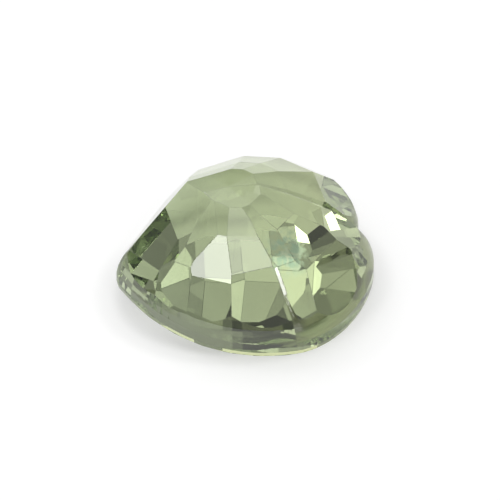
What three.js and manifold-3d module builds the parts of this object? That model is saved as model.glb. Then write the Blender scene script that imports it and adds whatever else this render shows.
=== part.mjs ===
// Heart cut sapphire, one piece of crystal, lying on its table with the pavilion up.
// Millimetres, +Z up, the table on z = 0, the tip of the heart towards -Y and the cleft towards +Y.
import * as THREE from "three";
import { mergeVertices } from "three/addons/utils/BufferGeometryUtils.js";
import Module from "manifold-3d";

// Height of the crown, from the table up to the girdle's lower edge, and the blank's size down at the table.
const CROWN_HEIGHT = 0.69;
const BLANK_TABLE_SHARE = 0.95;
// How far the blank rises over its shoulder, before the pavilion is ground out of it.
const BLANK_RISE = 3;

// Heart outline at the girdle, measured from the tip. The two sides differ a little, as in a hand cut stone.
const NEAR_SIDE = {
  halfWidth: 3.49,
  widestAt: 4.22,
  lobeTopX: 0.52,
  lobeTopY: 6.88,
  tipHalfAngle: 71,
  flankPull: 0.37,
  lobeFullness: 0.47,
  cleftAzimuth: 138,
};
const FAR_SIDE = {
  halfWidth: 3.24,
  widestAt: 3.97,
  lobeTopX: 0.8,
  lobeTopY: 6.75,
  tipHalfAngle: 54.4,
  flankPull: 0.33,
  lobeFullness: 0.56,
  cleftAzimuth: 116,
};
const CLEFT_Y = 6.45;
const CLEFT_HALF_ANGLE = 26;
const TIP_BLUNT = 0.03;
const CULET_Y = 3.06;
const POINTS_PER_CURVE = 20;

// The smooth girdle and shoulder: [height over the girdle's lower edge, share of the outline].
const SHOULDER = [
  [0.0, 0.994],
  [0.12, 1.0],
  [0.42, 0.997],
  [0.62, 0.982],
  [0.82, 0.958],
  [1.02, 0.925],
  [1.25, 0.885],
  [1.45, 0.85],
];

// Edges between the pavilion rows, from the girdle to the culet. The inset follows a side that reaches
// USUAL_REACH from the culet; a side that reaches further goes out by the follow share of the difference.
const USUAL_REACH = 3.3;
const PAVILION_EDGES = [
  { share: 0.89, follow: 0.89, height: 1.03 },
  { share: 0.68, follow: 0.85, height: 1.78 },
  { share: 0.41, follow: 0.55, height: 2.51 },
  { share: 0.21, follow: 0.22, height: 2.98 },
  { share: 0.0, follow: 0.0, height: 3.05 },
];
const PAVILION_AZIMUTHS = [-64, -49.5, -40, -12, 15.5, 42.5, 85];

// Facets at the tip of the heart are ground right across the ridge, into the other side.
const TIP_FACETS_UNDER_AZIMUTH = -30;
// The facets of the last row, round the culet, lie equally far out on both sides.
const FIRST_SHARED_ROW = 3;
// The facets beside the cleft hold one groove line between the lobes, which has its own reach from the culet.
const GROOVE_FACETS_OVER_AZIMUTH = 115;
const PAVILION_GROOVE_REACH = 3.66;
const CROWN_GROOVE_REACH = 3.45;

// How far some of the near side's facets stand off the even pattern: turned and tilted in degrees, moved in mm.
const HAND_CUT = [
  { row: 0, facet: 0, turned: 1.5, tilted: 5.5, moved: 0.07 },
  { row: 0, facet: 1, turned: -0.5, tilted: 2, moved: 0.01 },
  { row: 0, facet: 3, turned: 1.5, tilted: -3.5, moved: 0.02 },
  { row: 0, facet: 4, turned: 0, tilted: -5.5, moved: 0.02 },
  { row: 0, facet: 6, turned: 0, tilted: -4.5, moved: 0.11 },
  { row: 1, facet: 1, turned: -1.5, tilted: 1, moved: 0.03 },
  { row: 1, facet: 2, turned: -0.5, tilted: 2, moved: 0.01 },
  { row: 1, facet: 3, turned: 0, tilted: -0.5, moved: -0.02 },
  { row: 1, facet: 4, turned: 0, tilted: -2, moved: -0.02 },
  { row: 1, facet: 6, turned: 0, tilted: -4.5, moved: 0.11 },
  { row: 2, facet: 2, turned: -2, tilted: -2, moved: 0 },
  { row: 2, facet: 3, turned: 0, tilted: 1.5, moved: -0.01 },
  { row: 2, facet: 6, turned: 0, tilted: -4.5, moved: 0.11 },
];

// The far side's facets beside the tip stand steeper and further out, so the ridge to the tip runs over to that side.
const FAR_TIP_ROWS = [0, 1, 2];
const FAR_TIP_FACETS = [0, 1, 2];
const FAR_TIP_CUT = { tilted: 10, moved: 0.5 };
// The rest of the far side's first row stands a little steeper than the even pattern.
const FAR_FIRST_ROW_TILT = 2;
const FAR_STEEPER_FACETS = [3, 4, 5, 6];

// Edges between the crown rows, from the girdle to the table, with depths under the girdle's lower edge.
const CROWN_EDGES = [
  { share: 1.0, follow: 1.0, height: 0.0 },
  { share: 0.89, follow: 0.91, height: 0.26 },
  { share: 0.42, follow: 0.46, height: 0.69 },
];
const CROWN_MAIN_AZIMUTHS = [-74, -43, -12, 18, 49, 80, 122];
const CROWN_GIRDLE_FACETS = 18;
const CROWN_GIRDLE_FIRST = -64;
const CROWN_GIRDLE_LAST = 122;

// Side of the block that grinds a facet, well over the stone's size.
const TOOL_SIZE = 30;

const wasm = await Module();
wasm.setup();

// Turns a three.js geometry into a closed solid.
function solidFrom(geometry) {
  const bare = geometry.clone();
  bare.deleteAttribute("normal");
  bare.deleteAttribute("uv");
  const merged = mergeVertices(bare, 1e-5);
  const vertProperties = new Float32Array(merged.attributes.position.array);
  const triVerts = new Uint32Array(merged.index.array);
  return new wasm.Manifold(new wasm.Mesh({ numProp: 3, vertProperties, triVerts }));
}

// Half of the heart from the tip round the lobe to the cleft, as points round the culet.
function sideOutline(side) {
  const tipAngle = THREE.MathUtils.degToRad(side.tipHalfAngle);
  const cleftAngle = THREE.MathUtils.degToRad(CLEFT_HALF_ANGLE);
  const flank = Math.hypot(side.halfWidth, side.widestAt) * side.flankPull;
  const rise = (side.lobeTopY - side.widestAt) * side.lobeFullness;
  const run = (side.halfWidth - side.lobeTopX) * side.lobeFullness;
  const dip = side.lobeTopY - CLEFT_Y;
  const startX = 2 * TIP_BLUNT * Math.tan(tipAngle);
  const startY = 2 * TIP_BLUNT;
  const path = new THREE.Path();
  path.moveTo(0, TIP_BLUNT);
  path.quadraticCurveTo(startX / 2, TIP_BLUNT, startX, startY);
  path.bezierCurveTo(
    startX + flank * Math.sin(tipAngle),
    startY + flank * Math.cos(tipAngle),
    side.halfWidth,
    side.widestAt - flank,
    side.halfWidth,
    side.widestAt,
  );
  path.bezierCurveTo(
    side.halfWidth,
    side.widestAt + rise,
    side.lobeTopX + run,
    side.lobeTopY,
    side.lobeTopX,
    side.lobeTopY,
  );
  path.bezierCurveTo(
    side.lobeTopX * 0.5,
    side.lobeTopY,
    Math.sin(cleftAngle) * dip * 0.5,
    CLEFT_Y + Math.cos(cleftAngle) * dip * 0.5,
    0,
    CLEFT_Y,
  );
  return path.getPoints(POINTS_PER_CURVE).map((p) => new THREE.Vector2(p.x, p.y - CULET_Y));
}

// Closed body of copies of one outline, each scaled round the culet and set at its own height.
function stackedBody(outline, levels, sign) {
  const count = outline.length;
  const positions = [];
  const index = [];
  for (const [height, share] of levels) {
    for (const p of outline) {
      positions.push(p.x * share * sign, p.y * share, height);
    }
  }
  const quad = (a, b, c, d) => index.push(a, b, c, a, c, d);
  for (let level = 0; level < levels.length - 1; level += 1) {
    for (let i = 0; i < count; i += 1) {
      const next = (i + 1) % count;
      const low = level * count;
      quad(low + i, low + next, low + count + next, low + count + i);
    }
  }
  const top = (levels.length - 1) * count;
  for (let i = 1; i < count - 1; i += 1) {
    index.push(0, i + 1, i);
    index.push(top, top + i, top + i + 1);
  }
  if (sign < 0) index.reverse();
  const geometry = new THREE.BufferGeometry();
  geometry.setAttribute("position", new THREE.Float32BufferAttribute(positions, 3));
  geometry.setIndex(index);
  return solidFrom(geometry);
}

// Distance from the culet to the outline's tangent that faces the given way.
function reachOf(outline, azimuth) {
  const angle = THREE.MathUtils.degToRad(azimuth);
  const direction = new THREE.Vector2(Math.cos(angle), Math.sin(angle));
  return Math.max(...outline.map((p) => p.dot(direction)));
}

// Distance from the culet of one row edge, on a side that reaches this far.
function edgeDistance(edge, reach) {
  return edge.share * USUAL_REACH + edge.follow * (reach - USUAL_REACH);
}

// Block whose near face lies on the facet, so that taking it away grinds that facet flat.
function grindingBlock(point, normal) {
  const block = new THREE.BoxGeometry(TOOL_SIZE, TOOL_SIZE, TOOL_SIZE);
  const turn = new THREE.Quaternion().setFromUnitVectors(new THREE.Vector3(0, 0, 1), normal);
  const middle = point.clone().addScaledVector(normal, TOOL_SIZE / 2);
  block.applyQuaternion(turn);
  block.translate(middle.x, middle.y, middle.z);
  return solidFrom(block);
}

// Grinds one facet between the two edges of its row. A pavilion row has up = 1, a crown row up = -1.
function grindFacet(stone, facet, row) {
  const { foot, head, up } = row;
  const footDistance = edgeDistance(foot, facet.reach) * facet.inset;
  const headDistance = edgeDistance(head, facet.reach) * facet.inset;
  const evenSlope = Math.atan2(head.height - foot.height, footDistance - headDistance);
  const slope = evenSlope + THREE.MathUtils.degToRad(facet.tilted || 0);
  const angle = THREE.MathUtils.degToRad(facet.azimuth + (facet.turned || 0));
  const distance = (footDistance + headDistance) / 2 + (facet.moved || 0);
  const height = (foot.height + head.height) / 2;
  const normal = new THREE.Vector3(
    Math.cos(angle) * facet.sign * Math.sin(slope),
    Math.sin(angle) * Math.sin(slope),
    up * Math.cos(slope),
  );
  const point = new THREE.Vector3(
    Math.cos(angle) * facet.sign * distance,
    Math.sin(angle) * distance,
    CROWN_HEIGHT + up * height,
  );
  return stone.subtract(grindingBlock(point, normal));
}

// The facets of one row on one side. A facet beside the cleft sees the groove's reach at an angle.
function facetsOf(row, side, otherSide) {
  return row.azimuthsOf(side).map((azimuth, index) => {
    const own = reachOf(side.outline, azimuth);
    const other = reachOf(otherSide.outline, azimuth);
    const hand = side.handCut.find((h) => h.row === row.number && h.facet === index);
    const facet = { ...hand, azimuth, sign: side.sign, reach: own, inset: 1 };
    if (azimuth > GROOVE_FACETS_OVER_AZIMUTH) {
      facet.reach = row.grooveReach;
      facet.inset = Math.sin(THREE.MathUtils.degToRad(azimuth));
    } else if (row.shared && azimuth > TIP_FACETS_UNDER_AZIMUTH) {
      facet.reach = (own + other) / 2;
    }
    return facet;
  });
}

// Grinds one row on one side of the heart: its own facets, and the other side's that cross the tip's ridge.
function grindRow(stone, side, otherSide, row) {
  const others = facetsOf(row, otherSide, side);
  const crossing = others.filter((facet) => facet.azimuth < TIP_FACETS_UNDER_AZIMUTH);
  let ground = stone;
  for (const facet of [...facetsOf(row, side, otherSide), ...crossing]) {
    ground = grindFacet(ground, facet, row);
  }
  return ground;
}

function crownRows() {
  const step = (CROWN_GIRDLE_LAST - CROWN_GIRDLE_FIRST) / (CROWN_GIRDLE_FACETS - 1);
  const fine = Array.from({ length: CROWN_GIRDLE_FACETS }, (_, i) => CROWN_GIRDLE_FIRST + step * i);
  const [girdle, middle, table] = CROWN_EDGES;
  const alike = { up: -1, shared: false, grooveReach: CROWN_GROOVE_REACH };
  return [
    { ...alike, foot: girdle, head: middle, azimuthsOf: () => fine },
    { ...alike, foot: middle, head: table, azimuthsOf: () => CROWN_MAIN_AZIMUTHS },
  ];
}

function pavilionRows() {
  return PAVILION_EDGES.slice(1).map((head, number) => ({
    number,
    foot: PAVILION_EDGES[number],
    head,
    up: 1,
    shared: number >= FIRST_SHARED_ROW,
    grooveReach: PAVILION_GROOVE_REACH,
    azimuthsOf: (side) => [...PAVILION_AZIMUTHS, side.cleftAzimuth],
  }));
}

// One side of the heart: a smooth blank, then its facets.
function makeSide(side, otherSide) {
  const last = SHOULDER[SHOULDER.length - 1];
  const levels = [[0, BLANK_TABLE_SHARE]];
  for (const [height, share] of SHOULDER) {
    levels.push([CROWN_HEIGHT + height, share]);
  }
  levels.push([CROWN_HEIGHT + last[0] + BLANK_RISE, last[1]]);
  let stone = stackedBody(side.outline, levels, side.sign);
  for (const row of [...crownRows(), ...pavilionRows()]) {
    stone = grindRow(stone, side, otherSide, row);
  }
  return stone;
}

// Flat shaded mesh of the solid, with the origin under its middle, on the plane of the table.
function meshFrom(solid, name, material) {
  const made = solid.getMesh();
  const geometry = new THREE.BufferGeometry();
  const positions = new Float32Array(made.vertProperties);
  geometry.setAttribute("position", new THREE.BufferAttribute(positions, 3));
  geometry.setIndex(new THREE.BufferAttribute(new Uint32Array(made.triVerts), 1));
  const faceted = geometry.toNonIndexed();
  faceted.computeVertexNormals();
  faceted.computeBoundingBox();
  const { min, max } = faceted.boundingBox;
  faceted.translate(-(min.x + max.x) / 2, -(min.y + max.y) / 2, -min.z);
  const mesh = new THREE.Mesh(faceted, material);
  mesh.name = name;
  return mesh;
}

const crystal = new THREE.MeshStandardMaterial({
  name: "sage_green_crystal",
  color: 0xa3b184,
  roughness: 0.06,
  metalness: 0,
});

const near = { ...NEAR_SIDE, sign: 1, outline: sideOutline(NEAR_SIDE), handCut: HAND_CUT };
const farHandCut = [
  ...FAR_TIP_ROWS.flatMap((row) => FAR_TIP_FACETS.map((facet) => ({ row, facet, ...FAR_TIP_CUT }))),
  ...FAR_STEEPER_FACETS.map((facet) => ({ row: 0, facet, tilted: FAR_FIRST_ROW_TILT })),
];
const far = { ...FAR_SIDE, sign: -1, outline: sideOutline(FAR_SIDE), handCut: farHandCut };
const stone = makeSide(near, far).add(makeSide(far, near));
const sapphire = meshFrom(stone, "heart_sapphire", crystal);

const group = new THREE.Group();
group.name = "heart_cut_sapphire";
group.add(sapphire);

export default group;
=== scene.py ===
import math
import bmesh
import bpy
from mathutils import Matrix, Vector


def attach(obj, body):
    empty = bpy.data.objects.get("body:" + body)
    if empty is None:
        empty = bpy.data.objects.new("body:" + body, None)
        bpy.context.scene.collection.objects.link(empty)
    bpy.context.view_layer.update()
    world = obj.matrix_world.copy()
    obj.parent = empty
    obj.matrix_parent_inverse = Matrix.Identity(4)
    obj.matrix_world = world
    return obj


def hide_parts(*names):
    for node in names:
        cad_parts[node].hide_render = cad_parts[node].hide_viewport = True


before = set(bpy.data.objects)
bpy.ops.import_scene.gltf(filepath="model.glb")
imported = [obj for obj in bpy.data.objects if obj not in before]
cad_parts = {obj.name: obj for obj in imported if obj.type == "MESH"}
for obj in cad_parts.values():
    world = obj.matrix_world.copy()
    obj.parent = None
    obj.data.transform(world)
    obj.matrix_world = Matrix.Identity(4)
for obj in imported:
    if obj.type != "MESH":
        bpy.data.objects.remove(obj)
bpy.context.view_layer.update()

mm = 0.001

# camera, at the photograph's viewing angle
camera = {
    "azimuth": 78.6,           # degrees round from the tip of the heart
    "elevation": 46.0,         # degrees over the floor
    "distance": 220 * mm,
    "viewWidth": 13.30 * mm,   # width seen at that distance
    "aimHeight": 1.24 * mm,
    "aimRight": 0.171 * mm,
    "aimUp": 0.094 * mm,
    "sensorWidth": 36.0,
    "nearest": 5 * mm,         # nothing nearer or farther than this is seen
    "farthest": 5.0,
}


def lookingFrom(azimuth, elevation):
    # unit vector from the stone towards a viewer or a lamp
    a, e = math.radians(azimuth), math.radians(elevation)
    return Vector((math.sin(a) * math.cos(e), -math.cos(a) * math.cos(e), math.sin(e)))


def addToScene(name, data):
    thing = bpy.data.objects.new(name, data)
    bpy.context.scene.collection.objects.link(thing)
    return thing


def makeCamera(c):
    data = bpy.data.cameras.new("photoCamera")
    cam = addToScene("photoCamera", data)
    back = lookingFrom(c["azimuth"], c["elevation"])
    turn = (-back).to_track_quat("-Z", "Y")
    right, up = turn @ Vector((1, 0, 0)), turn @ Vector((0, 1, 0))
    aim = Vector((0, 0, c["aimHeight"])) + right * c["aimRight"] + up * c["aimUp"]
    cam.rotation_mode = "QUATERNION"
    cam.rotation_quaternion = turn
    cam.location = aim + back * c["distance"]
    data.sensor_width = c["sensorWidth"]
    data.lens = data.sensor_width * c["distance"] / c["viewWidth"]
    data.clip_start, data.clip_end = c["nearest"], c["farthest"]
    data.dof.use_dof = False
    bpy.context.scene.camera = cam


makeCamera(camera)
print("camera in place")

# the stone, a copy of the CAD solid with its edges softened
stone = {
    "weld": 0.0005 * mm,       # vertices closer than this are one
    "flatWithin": 0.3,         # degrees between triangles of one ground facet
    "facetArea": 0.05,         # mm2, a flat patch larger than this is a ground facet
    "edgeWidth": 0.006 * mm,   # softening of the edges between pavilion facets
    "edgeFold": 4.0,           # degrees, flatter edges stay as they are
    "edgesAbove": 1.5 * mm,    # and so do those of facets lower than this
    "girdleFoot": 0.6 * mm,    # the smooth girdle and shoulder lie between these heights
    "girdleHead": 2.2 * mm,
}
# a small extra facet ground along one edge, which catches the light
sliver = {
    "head": (1.99 * mm, 0.42 * mm, 2.72 * mm),
    "foot": (2.86 * mm, 0.67 * mm, 1.94 * mm),
    "width": 0.05 * mm,
    "before": 0.05 * mm,       # how far before its head an edge of the stone may start
    "aside": 0.06 * mm,        # and how far from its line it may lie
    "alongFrom": 0.99,         # cosine from which an edge that leaves the line still runs along it
}
# stretches of the girdle's lower edge with a frosted finish and a painted highlight, a bright line
# lightened into their colour, from place to place along the stone
frostedHighlightStretches = {
    "foot": 0.68 * mm,
    "head": 0.83 * mm,
    "stretches": ((-1.35 * mm, 1.45 * mm), (-2.65 * mm, -1.65 * mm)),
    "slant": 0.4 * mm,         # how much shorter a stretch is at its head, at either end
    "lean": 0.3,               # a face whose normal rises or falls more than this isn't frosted
}
# the order of the finishes on the stone
facetFinish, girdleFinish, edgeFinish, frostAndHighlightFinish = range(4)


def flatPatches(mesh, s):
    # groups of triangles that lie in one plane
    patches, seen = [], set()
    limit = math.cos(math.radians(s["flatWithin"]))
    for first in mesh.faces:
        if first in seen:
            continue
        seen.add(first)
        patch, queue = [first], [first]
        while queue:
            for edge in queue.pop().edges:
                for other in edge.link_faces:
                    if other not in seen and other.normal.dot(first.normal) > limit:
                        seen.add(other)
                        patch.append(other)
                        queue.append(other)
        patches.append(patch)
    return patches


def markFacets(mesh, s):
    # numbers the ground facets from 1, and leaves 0 on the smooth girdle and shoulder
    facetNumber = mesh.faces.layers.int.new("facetNumber")
    number = 0
    for patch in flatPatches(mesh, s):
        area = sum(face.calc_area() for face in patch) / mm ** 2
        height = sum(face.calc_center_median().z for face in patch) / len(patch)
        onGirdle = s["girdleFoot"] < height < s["girdleHead"] and area < s["facetArea"]
        number += 0 if onGirdle else 1
        for face in patch:
            face[facetNumber] = 0 if onGirdle else number
            face.smooth = onGirdle
            face.material_index = girdleFinish if onGirdle else facetFinish
    return facetNumber, number


def grindEdges(mesh, edges, width):
    # one flat slope along each edge
    made = bmesh.ops.bevel(mesh, geom=edges, offset=width, offset_type="OFFSET", segments=1,
                           profile=0.5, affect="EDGES", clamp_overlap=False, material=-1)
    return made["faces"]


def softenEdges(mesh, facetNumber, s):
    # a narrow worn slope along each edge between two facets of the pavilion
    def onPavilion(face):
        return face[facetNumber] and face.calc_center_median().z > s["edgesAbove"]

    def isFold(edge):
        return (len(edge.link_faces) == 2 and all(onPavilion(face) for face in edge.link_faces)
                and math.degrees(edge.calc_face_angle(0)) > s["edgeFold"])

    slopes = grindEdges(mesh, [edge for edge in mesh.edges if isFold(edge)], s["edgeWidth"])
    for face in slopes:
        face.material_index = edgeFinish
        face.smooth = False
    return slopes


def grindSliver(mesh, v):
    # lays a narrow flat facet over the edges that run along the sliver's line
    head, foot = Vector(v["head"]), Vector(v["foot"])
    along = (foot - head).normalized()

    def onLine(vert):
        reach = (vert.co - head).dot(along)
        aside = (vert.co - head - along * reach).length
        return -v["before"] < reach < (foot - head).length and aside < v["aside"]

    def runsAlong(edge):
        ends = [onLine(vert) for vert in edge.verts]
        course = (edge.verts[1].co - edge.verts[0].co).normalized()
        return all(ends) or (any(ends) and abs(course.dot(along)) > v["alongFrom"])

    edges = [edge for edge in mesh.edges if runsAlong(edge)]
    faces = grindEdges(mesh, edges, v["width"])
    print("sliver:", len(edges), "edges", len(faces), "faces")


def frostAndHighlightGirdle(mesh, f):
    # marks the frosted stretches, which carry a painted highlight, on the near side of the girdle's lower
    # edge
    for face in mesh.faces:
        middle = face.calc_center_median()
        rise = (middle.z - f["foot"]) / (f["head"] - f["foot"])
        if middle.x > 0 and 0 < rise < 1 and abs(face.normal.z) < f["lean"]:
            shorter = f["slant"] * rise
            if any(first + shorter < middle.y < last - shorter for first, last in f["stretches"]):
                face.material_index = frostAndHighlightFinish


def makeStone(s):
    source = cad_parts["heart_sapphire"]
    mesh = bmesh.new()
    mesh.from_mesh(source.data)
    bmesh.ops.remove_doubles(mesh, verts=mesh.verts, dist=s["weld"])
    mesh.normal_update()
    facetNumber, count = markFacets(mesh, s)

    def isInside(edge):
        # both its faces belong to one ground facet
        numbers = {face[facetNumber] for face in edge.link_faces}
        return len(numbers) == 1 and not edge.link_faces[0].smooth

    inside = [edge for edge in mesh.edges if isInside(edge)]
    bmesh.ops.dissolve_edges(mesh, edges=inside, use_verts=True, use_face_split=False)
    grindSliver(mesh, sliver)
    slopes = softenEdges(mesh, facetNumber, s)
    frostAndHighlightGirdle(mesh, frostedHighlightStretches)
    for edge in mesh.edges:
        if not all(face.smooth for face in edge.link_faces):
            edge.smooth = False
    data = bpy.data.meshes.new("sapphire")
    mesh.to_mesh(data)
    print("stone:", count, "ground facets,", len(slopes), "softened edges,", len(mesh.faces), "faces")
    mesh.free()
    return addToScene("sapphire", data)


# pale sage green crystal, bluer at the tip and yellower at the cleft
crystal = {
    "ior": 1.77,
    "colour": (0.55, 0.63, 0.42, 1),
    "density": 150.0,                    # per metre
    "tipTint": (0.73, 0.82, 0.63, 1),
    "middleTint": (0.74, 0.81, 0.565, 1),
    "cleftTint": (0.77, 0.82, 0.525, 1),
    "girdleCleftTint": (0.80, 0.87, 0.40, 1),
    "halfLength": 3.4 * mm,              # from the middle to the tip and to the cleft
    "middleAt": 0.4,                     # share of the way from the tip
    "cloudiness": 0.08,                  # how much darker the tint gets in a cloud
    "cloudScale": 700.0,
    "cloudDetail": 3.0,
    "cloudRange": (0.35, 0.65),
    "girdleTint": (1.0, 1.04, 0.80, 1),  # over the tints above, on the girdle
    "frostTintAndPaintedHighlight": (1.33, 1.31, 1.0, 1),   # and on its frosted stretches, where it lightens them to a painted highlight
    "frostClearness": 0.3,
    "frostRoughness": 0.4,
    "facetRoughness": 0.0,
    "edgeRoughness": 0.12,
    "edgeClearness": 0.85,               # the rest of an edge is fine white abrasion
    "girdleRoughness": 0.14,
    "girdleClearness": 0.89,
}
# a wisp of fine flecks and cracks just under one facet
wisp = {
    "place": (1.69 * mm, 0.85 * mm, 2.84 * mm),
    "radius": 0.75 * mm,
    "tint": (0.42, 0.66, 0.62, 1),
    "scale": 4200.0,
    "detail": 4.0,
    "coarseness": 0.7,
    "fleckRange": (0.42, 0.56),          # from no fleck to a full one
    "fleckStrength": 1.8,
    "roughness": 0.16,
    "crackTint": (0.88, 0.96, 0.86, 1),
    "crackScale": 3000.0,
    "crackWidth": 0.10,                  # as a share of a patch between the cracks
    "crackBend": 0.35 * mm,              # how far the cracks wander
    "bendScale": 2100.0,
    "bendDetail": 2.0,
}
# fine lines round the girdle, left by the polishing wheel
wheelLines = {"scale": 2600.0, "detail": 2.0, "distortion": 1.2, "depth": 0.0012 * mm, "strength": 0.5}

# a colour Mix node's two colours and its result, which share their names with other sockets
mixUnder, mixOver, mixResult = 6, 7, 2


def addNode(tree, kind, inputs=None, **settings):
    # a node with its settings, and for each input a value or the output of another node
    node = tree.nodes.new(kind)
    for setting, value in settings.items():
        setattr(node, setting, value)
    for socket, value in (inputs or {}).items():
        if isinstance(value, bpy.types.NodeSocket):
            tree.links.new(value, node.inputs[socket])
        else:
            node.inputs[socket].default_value = value
    return node


def bodyTint(tree, coordinates, c, over):
    # colour zones along the stone, with soft clouds in them, and one even tint over them where it is given
    parts = addNode(tree, "ShaderNodeSeparateXYZ", {"Vector": coordinates})
    along = addNode(tree, "ShaderNodeMapRange", {
        "Value": parts.outputs["Y"], "From Min": -c["halfLength"], "From Max": c["halfLength"]})
    zones = addNode(tree, "ShaderNodeValToRGB", {"Fac": along.outputs["Result"]})
    zones.color_ramp.elements[0].color = c["tipTint"]
    zones.color_ramp.elements[1].color = c["cleftTint"]
    zones.color_ramp.elements.new(c["middleAt"]).color = c["middleTint"]
    clouds = addNode(tree, "ShaderNodeTexNoise", {
        "Vector": coordinates, "Scale": c["cloudScale"], "Detail": c["cloudDetail"]})
    shade = addNode(tree, "ShaderNodeMapRange", {
        "Value": clouds.outputs["Fac"], "From Min": c["cloudRange"][0], "From Max": c["cloudRange"][1],
        "To Min": 1 - c["cloudiness"], "To Max": 1.0})
    tinted = addNode(tree, "ShaderNodeMix", data_type="RGBA", blend_type="MULTIPLY", inputs={
        "Factor": 1.0, mixUnder: zones.outputs["Color"], mixOver: shade.outputs["Result"]})
    if not over:
        return tinted.outputs[mixResult]
    last = addNode(tree, "ShaderNodeMix", data_type="RGBA", blend_type="MULTIPLY", inputs={
        "Factor": 1.0, mixUnder: tinted.outputs[mixResult], mixOver: over})
    return last.outputs[mixResult]


def wispShare(tree, coordinates, w):
    # how much of a place belongs to the flecks, and how much to the cracks between them
    place = addNode(tree, "ShaderNodeMapping", vector_type="TEXTURE", inputs={
        "Vector": coordinates, "Location": w["place"], "Scale": (w["radius"],) * 3})
    ball = addNode(tree, "ShaderNodeTexGradient", gradient_type="SPHERICAL", inputs={
        "Vector": place.outputs["Vector"]})
    noise = addNode(tree, "ShaderNodeTexNoise", {
        "Vector": coordinates, "Scale": w["scale"], "Detail": w["detail"], "Roughness": w["coarseness"]})
    flecks = addNode(tree, "ShaderNodeMapRange", {
        "Value": noise.outputs["Fac"], "From Min": w["fleckRange"][0], "From Max": w["fleckRange"][1],
        "To Max": w["fleckStrength"]})
    bend = addNode(tree, "ShaderNodeTexNoise", {
        "Vector": coordinates, "Scale": w["bendScale"], "Detail": w["bendDetail"]})
    bent = addNode(tree, "ShaderNodeVectorMath", operation="MULTIPLY_ADD", inputs={
        0: bend.outputs["Color"], 1: (w["crackBend"],) * 3, 2: coordinates})
    cells = addNode(tree, "ShaderNodeTexVoronoi", feature="DISTANCE_TO_EDGE", inputs={
        "Vector": bent.outputs["Vector"], "Scale": w["crackScale"]})
    cracks = addNode(tree, "ShaderNodeMapRange", {
        "Value": cells.outputs["Distance"], "From Max": w["crackWidth"], "To Min": 1.0, "To Max": 0.0})

    def product(first, second):
        both = addNode(tree, "ShaderNodeMath", {0: first, 1: second}, operation="MULTIPLY", use_clamp=True)
        return both.outputs["Value"]

    cracked = product(flecks.outputs["Result"], cracks.outputs["Result"])
    return product(ball.outputs["Fac"], flecks.outputs["Result"]), product(ball.outputs["Fac"], cracked)


def crystalMaterial(name, roughness, c, clearness=1.0, over=None, flecks=None, lines=None):
    material = bpy.data.materials.new(name)
    material.use_nodes = True
    tree = material.node_tree
    surface = tree.nodes["Principled BSDF"]
    surface.inputs["Roughness"].default_value = roughness
    surface.inputs["IOR"].default_value = c["ior"]
    surface.inputs["Transmission Weight"].default_value = clearness
    coordinates = addNode(tree, "ShaderNodeTexCoord").outputs["Object"]
    tint = bodyTint(tree, coordinates, c, over)
    if flecks:
        share, cracked = wispShare(tree, coordinates, flecks)
        for part, colour in ((share, flecks["tint"]), (cracked, flecks["crackTint"])):
            mixed = addNode(tree, "ShaderNodeMix", data_type="RGBA", inputs={
                "Factor": part, mixUnder: tint, mixOver: colour})
            tint = mixed.outputs[mixResult]
        rough = addNode(tree, "ShaderNodeMapRange", {
            "Value": share, "To Min": roughness, "To Max": flecks["roughness"]})
        tree.links.new(rough.outputs["Result"], surface.inputs["Roughness"])
    if lines:
        rings = addNode(tree, "ShaderNodeTexWave", wave_type="BANDS", bands_direction="Z", inputs={
            "Vector": coordinates, "Scale": lines["scale"], "Distortion": lines["distortion"],
            "Detail": lines["detail"]})
        relief = addNode(tree, "ShaderNodeBump", {
            "Height": rings.outputs["Fac"], "Strength": lines["strength"], "Distance": lines["depth"]})
        tree.links.new(relief.outputs["Normal"], surface.inputs["Normal"])
    tree.links.new(tint, surface.inputs["Base Color"])
    inside = addNode(tree, "ShaderNodeVolumeAbsorption", {"Color": c["colour"], "Density": c["density"]})
    tree.links.new(inside.outputs["Volume"], tree.nodes["Material Output"].inputs["Volume"])
    return material


sapphire = makeStone(stone)
girdleCrystal = {**crystal, "cleftTint": crystal["girdleCleftTint"]}
finishes = sapphire.data.materials
finishes.append(crystalMaterial("polishedFacets", crystal["facetRoughness"], crystal, flecks=wisp))
finishes.append(crystalMaterial("smoothGirdle", crystal["girdleRoughness"], girdleCrystal,
                                clearness=crystal["girdleClearness"], over=crystal["girdleTint"],
                                lines=wheelLines))
finishes.append(crystalMaterial("softenedEdges", crystal["edgeRoughness"], crystal,
                                clearness=crystal["edgeClearness"]))
# frosted finish on the girdle's lower edge, with a painted highlight lightened into its colour
finishes.append(crystalMaterial("frostedGirdlePaintedHighlight", crystal["frostRoughness"], crystal,
                                clearness=crystal["frostClearness"], over=crystal["frostTintAndPaintedHighlight"]))
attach(sapphire, "root")
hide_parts("heart_sapphire")
print("stone finished")

# white table under the stone, glowing, with a painted shadow: a dimmer ring in its glow under the stone's
# girdle, and painted light in the middle where light through the stone falls
floor = {
    "size": 0.6,
    "colour": (0.55, 0.55, 0.555, 1),
    "roughness": 0.7,
    "gap": 0.01 * mm,
    "paintedShadowWidth": 2.9 * mm,                # half the size of the painted shadow under the stone
    "paintedShadowLength": 4.05 * mm,
    "paintedGlowTint": (1, 1, 1, 1),
    # how strongly it glows, by the distance from the middle of the painted shadow as a share of its half
    # size: painted light under the middle of the stone, a painted shadow ring under its girdle
    "paintedGlowAndShadow": ((0.0, 0.55), (0.6, 0.6), (0.80, 0.42), (0.91, 0.55), (1.05, 0.63)),
    "paintedGlowEnd": 1.25,                     # farther out the glow stays even
}


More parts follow.
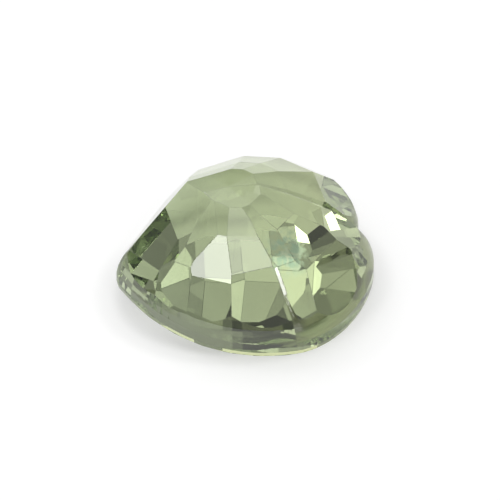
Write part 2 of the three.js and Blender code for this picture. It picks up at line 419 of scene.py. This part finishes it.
def makeFloor(f):
    mesh = bmesh.new()
    bmesh.ops.create_grid(mesh, x_segments=1, y_segments=1, size=f["size"] / 2)
    bmesh.ops.translate(mesh, verts=mesh.verts, vec=(0, 0, -f["gap"]))
    data = bpy.data.meshes.new("floor")
    mesh.to_mesh(data)
    mesh.free()
    piece = addToScene("floor", data)
    material = bpy.data.materials.new("whiteTableWithPaintedShadow")
    material.use_nodes = True
    tree = material.node_tree
    coordinates = addNode(tree, "ShaderNodeTexCoord").outputs["Object"]
    # the place of the painted shadow and painted light in the floor's glow
    paintedShadowPlace = addNode(tree, "ShaderNodeMapping", vector_type="TEXTURE", inputs={
        "Vector": coordinates, "Scale": (f["paintedShadowWidth"], f["paintedShadowLength"], 1)})
    away = addNode(tree, "ShaderNodeVectorMath", {0: paintedShadowPlace.outputs["Vector"]}, operation="LENGTH")
    reach = addNode(tree, "ShaderNodeMapRange", {"Value": away.outputs["Value"], "From Max": f["paintedGlowEnd"]})
    paintedGlowAndShadow = addNode(tree, "ShaderNodeValToRGB", {"Fac": reach.outputs["Result"]})
    paintedGlowAndShadow.color_ramp.interpolation = "EASE"
    stops = paintedGlowAndShadow.color_ramp.elements
    for share, light in f["paintedGlowAndShadow"]:
        stop = stops[0] if share == 0 else stops.new(share / f["paintedGlowEnd"])
        stop.color = (light, light, light, 1)
    stops[-1].color = stops[-2].color
    paint = tree.nodes["Principled BSDF"]
    paint.inputs["Base Color"].default_value = f["colour"]
    paint.inputs["Roughness"].default_value = f["roughness"]
    paint.inputs["Emission Color"].default_value = f["paintedGlowTint"]
    tree.links.new(paintedGlowAndShadow.outputs["Color"], paint.inputs["Emission Strength"])
    piece.data.materials.append(material)


makeFloor(floor)
print("floor in place")

# soft studio light: a pale room, brighter overhead, and softboxes round the table
room = {
    "top": 0.52,             # brightness overhead
    "side": 0.32,            # brightness at the floor's level
    "tint": (1.0, 1.0, 1.0, 1),
}
# dimmer places of the room: degrees from the middle of each to the end of its darkest part and to its rim,
# and the share of the brightness left in that part
roomShades = [
    {"azimuth": 259, "elevation": 30, "core": 6, "edge": 13, "left": 0.1},
    {"azimuth": 265, "elevation": 7, "core": 11, "edge": 18, "left": 0.15},
    {"azimuth": 338, "elevation": 43, "core": 4, "edge": 8, "left": 0.1},
    {"azimuth": 168, "elevation": 30, "core": 7, "edge": 13, "left": 0.65},
]
lampDistance = 0.3           # metres
lamps = {                    # azimuth, elevation and the size seen from the stone in degrees
    "ceilingBox": {"azimuth": 30, "elevation": 68, "wide": 76, "tall": 18, "radiance": 1.05},
    "tipBox": {"azimuth": 32, "elevation": 38, "wide": 14, "tall": 9, "radiance": 5.4},
    "tipSpot": {"azimuth": 356, "elevation": 45.5, "wide": 10, "tall": 6, "radiance": 4.0},
    "cleftSideSpot": {"azimuth": 149, "elevation": 37, "wide": 6, "tall": 6, "radiance": 6.0},
    "cameraBox": {"azimuth": 76, "elevation": 53, "wide": 20, "tall": 7, "radiance": 1.0},
    "sliverSpot": {"azimuth": 108, "elevation": 51, "wide": 7, "tall": 7, "radiance": 8.5},
    "frontSpot": {"azimuth": 104, "elevation": 5, "wide": 14, "tall": 9, "radiance": 1.5},
    "backSpot": {"azimuth": 238, "elevation": 51, "wide": 14, "tall": 10, "radiance": 0.31},
    "highBackSpot": {"azimuth": 262, "elevation": 53.5, "wide": 14, "tall": 11, "radiance": 0.52},
    "narrowBackSpot": {"azimuth": 244, "elevation": 43.8, "wide": 7, "tall": 6.6, "radiance": 0.76},
    "sideBackSpot": {"azimuth": 235, "elevation": 37, "wide": 20, "tall": 7, "radiance": 0.19},
    "lowBackSpot": {"azimuth": 261, "elevation": 41, "wide": 6, "tall": 5, "radiance": 0.34},
    "lowSideSpot": {"azimuth": 277, "elevation": 33, "wide": 6, "tall": 5, "radiance": 0.05},
    "cornerSpot": {"azimuth": 283, "elevation": 46, "wide": 13, "tall": 14, "radiance": 1.0},
    "highCornerSpot": {"azimuth": 282, "elevation": 58, "wide": 12, "tall": 8, "radiance": 0.15},
    "farCornerSpot": {"azimuth": 300, "elevation": 45, "wide": 10, "tall": 11, "radiance": 1.55},
    "topSpot": {"azimuth": 268, "elevation": 68, "wide": 12, "tall": 8, "radiance": 0.5},
    "lobeBox": {"azimuth": 318, "elevation": 23, "wide": 14, "tall": 12, "radiance": 0.35},
    "farCornerBox": {"azimuth": 292, "elevation": 22, "wide": 20, "tall": 16, "radiance": 0.35},
    "lowCornerBox": {"azimuth": 328, "elevation": 6, "wide": 34, "tall": 10, "radiance": 0.65},
    "highSpot": {"azimuth": 313, "elevation": 57, "wide": 6, "tall": 5, "radiance": 4.6},
    "cleftBox": {"azimuth": 208, "elevation": 29, "wide": 20, "tall": 12, "radiance": 0.16},
    "cleftSpot": {"azimuth": 196, "elevation": 36, "wide": 8, "tall": 7, "radiance": 0.85},
    "lowCleftBox": {"azimuth": 186, "elevation": 17, "wide": 16, "tall": 14, "radiance": 0.4},
}


def makeRoom(r, shades):
    world = bpy.data.worlds.new("room")
    bpy.context.scene.world = world
    world.use_nodes = True
    tree = world.node_tree
    direction = addNode(tree, "ShaderNodeTexCoord").outputs["Generated"]
    parts = addNode(tree, "ShaderNodeSeparateXYZ", {"Vector": direction})
    height = addNode(tree, "ShaderNodeMapRange", interpolation_type="SMOOTHSTEP", inputs={
        "Value": parts.outputs["Z"], "To Min": r["side"], "To Max": r["top"]})
    strength = height.outputs["Result"]
    for place in shades:
        middle = lookingFrom(place["azimuth"], place["elevation"])
        near = addNode(tree, "ShaderNodeVectorMath", {0: direction, 1: middle}, operation="DOT_PRODUCT")
        shade = addNode(tree, "ShaderNodeMapRange", interpolation_type="SMOOTHSTEP", inputs={
            "Value": near.outputs["Value"],
            "From Min": math.cos(math.radians(place["edge"])),
            "From Max": math.cos(math.radians(place["core"])),
            "To Min": 1.0,
            "To Max": place["left"]})
        both = addNode(tree, "ShaderNodeMath", operation="MULTIPLY", inputs={
            0: strength, 1: shade.outputs["Result"]})
        strength = both.outputs["Value"]
    sky = tree.nodes["Background"]
    sky.inputs["Color"].default_value = r["tint"]
    tree.links.new(strength, sky.inputs["Strength"])


def makeLamp(name, lamp):
    data = bpy.data.lights.new(name, "AREA")
    data.shape = "RECTANGLE"
    data.size = 2 * lampDistance * math.tan(math.radians(lamp["wide"] / 2))
    data.size_y = 2 * lampDistance * math.tan(math.radians(lamp["tall"] / 2))
    data.energy = lamp["radiance"] * math.pi * data.size * data.size_y
    lampObject = addToScene(name, data)
    back = lookingFrom(lamp["azimuth"], lamp["elevation"])
    lampObject.location = back * lampDistance
    lampObject.rotation_mode = "QUATERNION"
    lampObject.rotation_quaternion = (-back).to_track_quat("-Z", "Y")


makeRoom(room, roomShades)
for name, lamp in lamps.items():
    makeLamp(name, lamp)
print("light in place")

# light is followed through many turns inside the stone
turns = 40
paths = bpy.context.scene.cycles
paths.max_bounces = turns
paths.transmission_bounces = turns
paths.glossy_bounces = turns

view = bpy.context.scene.view_settings
view.view_transform = "Standard"
view.look = "None"
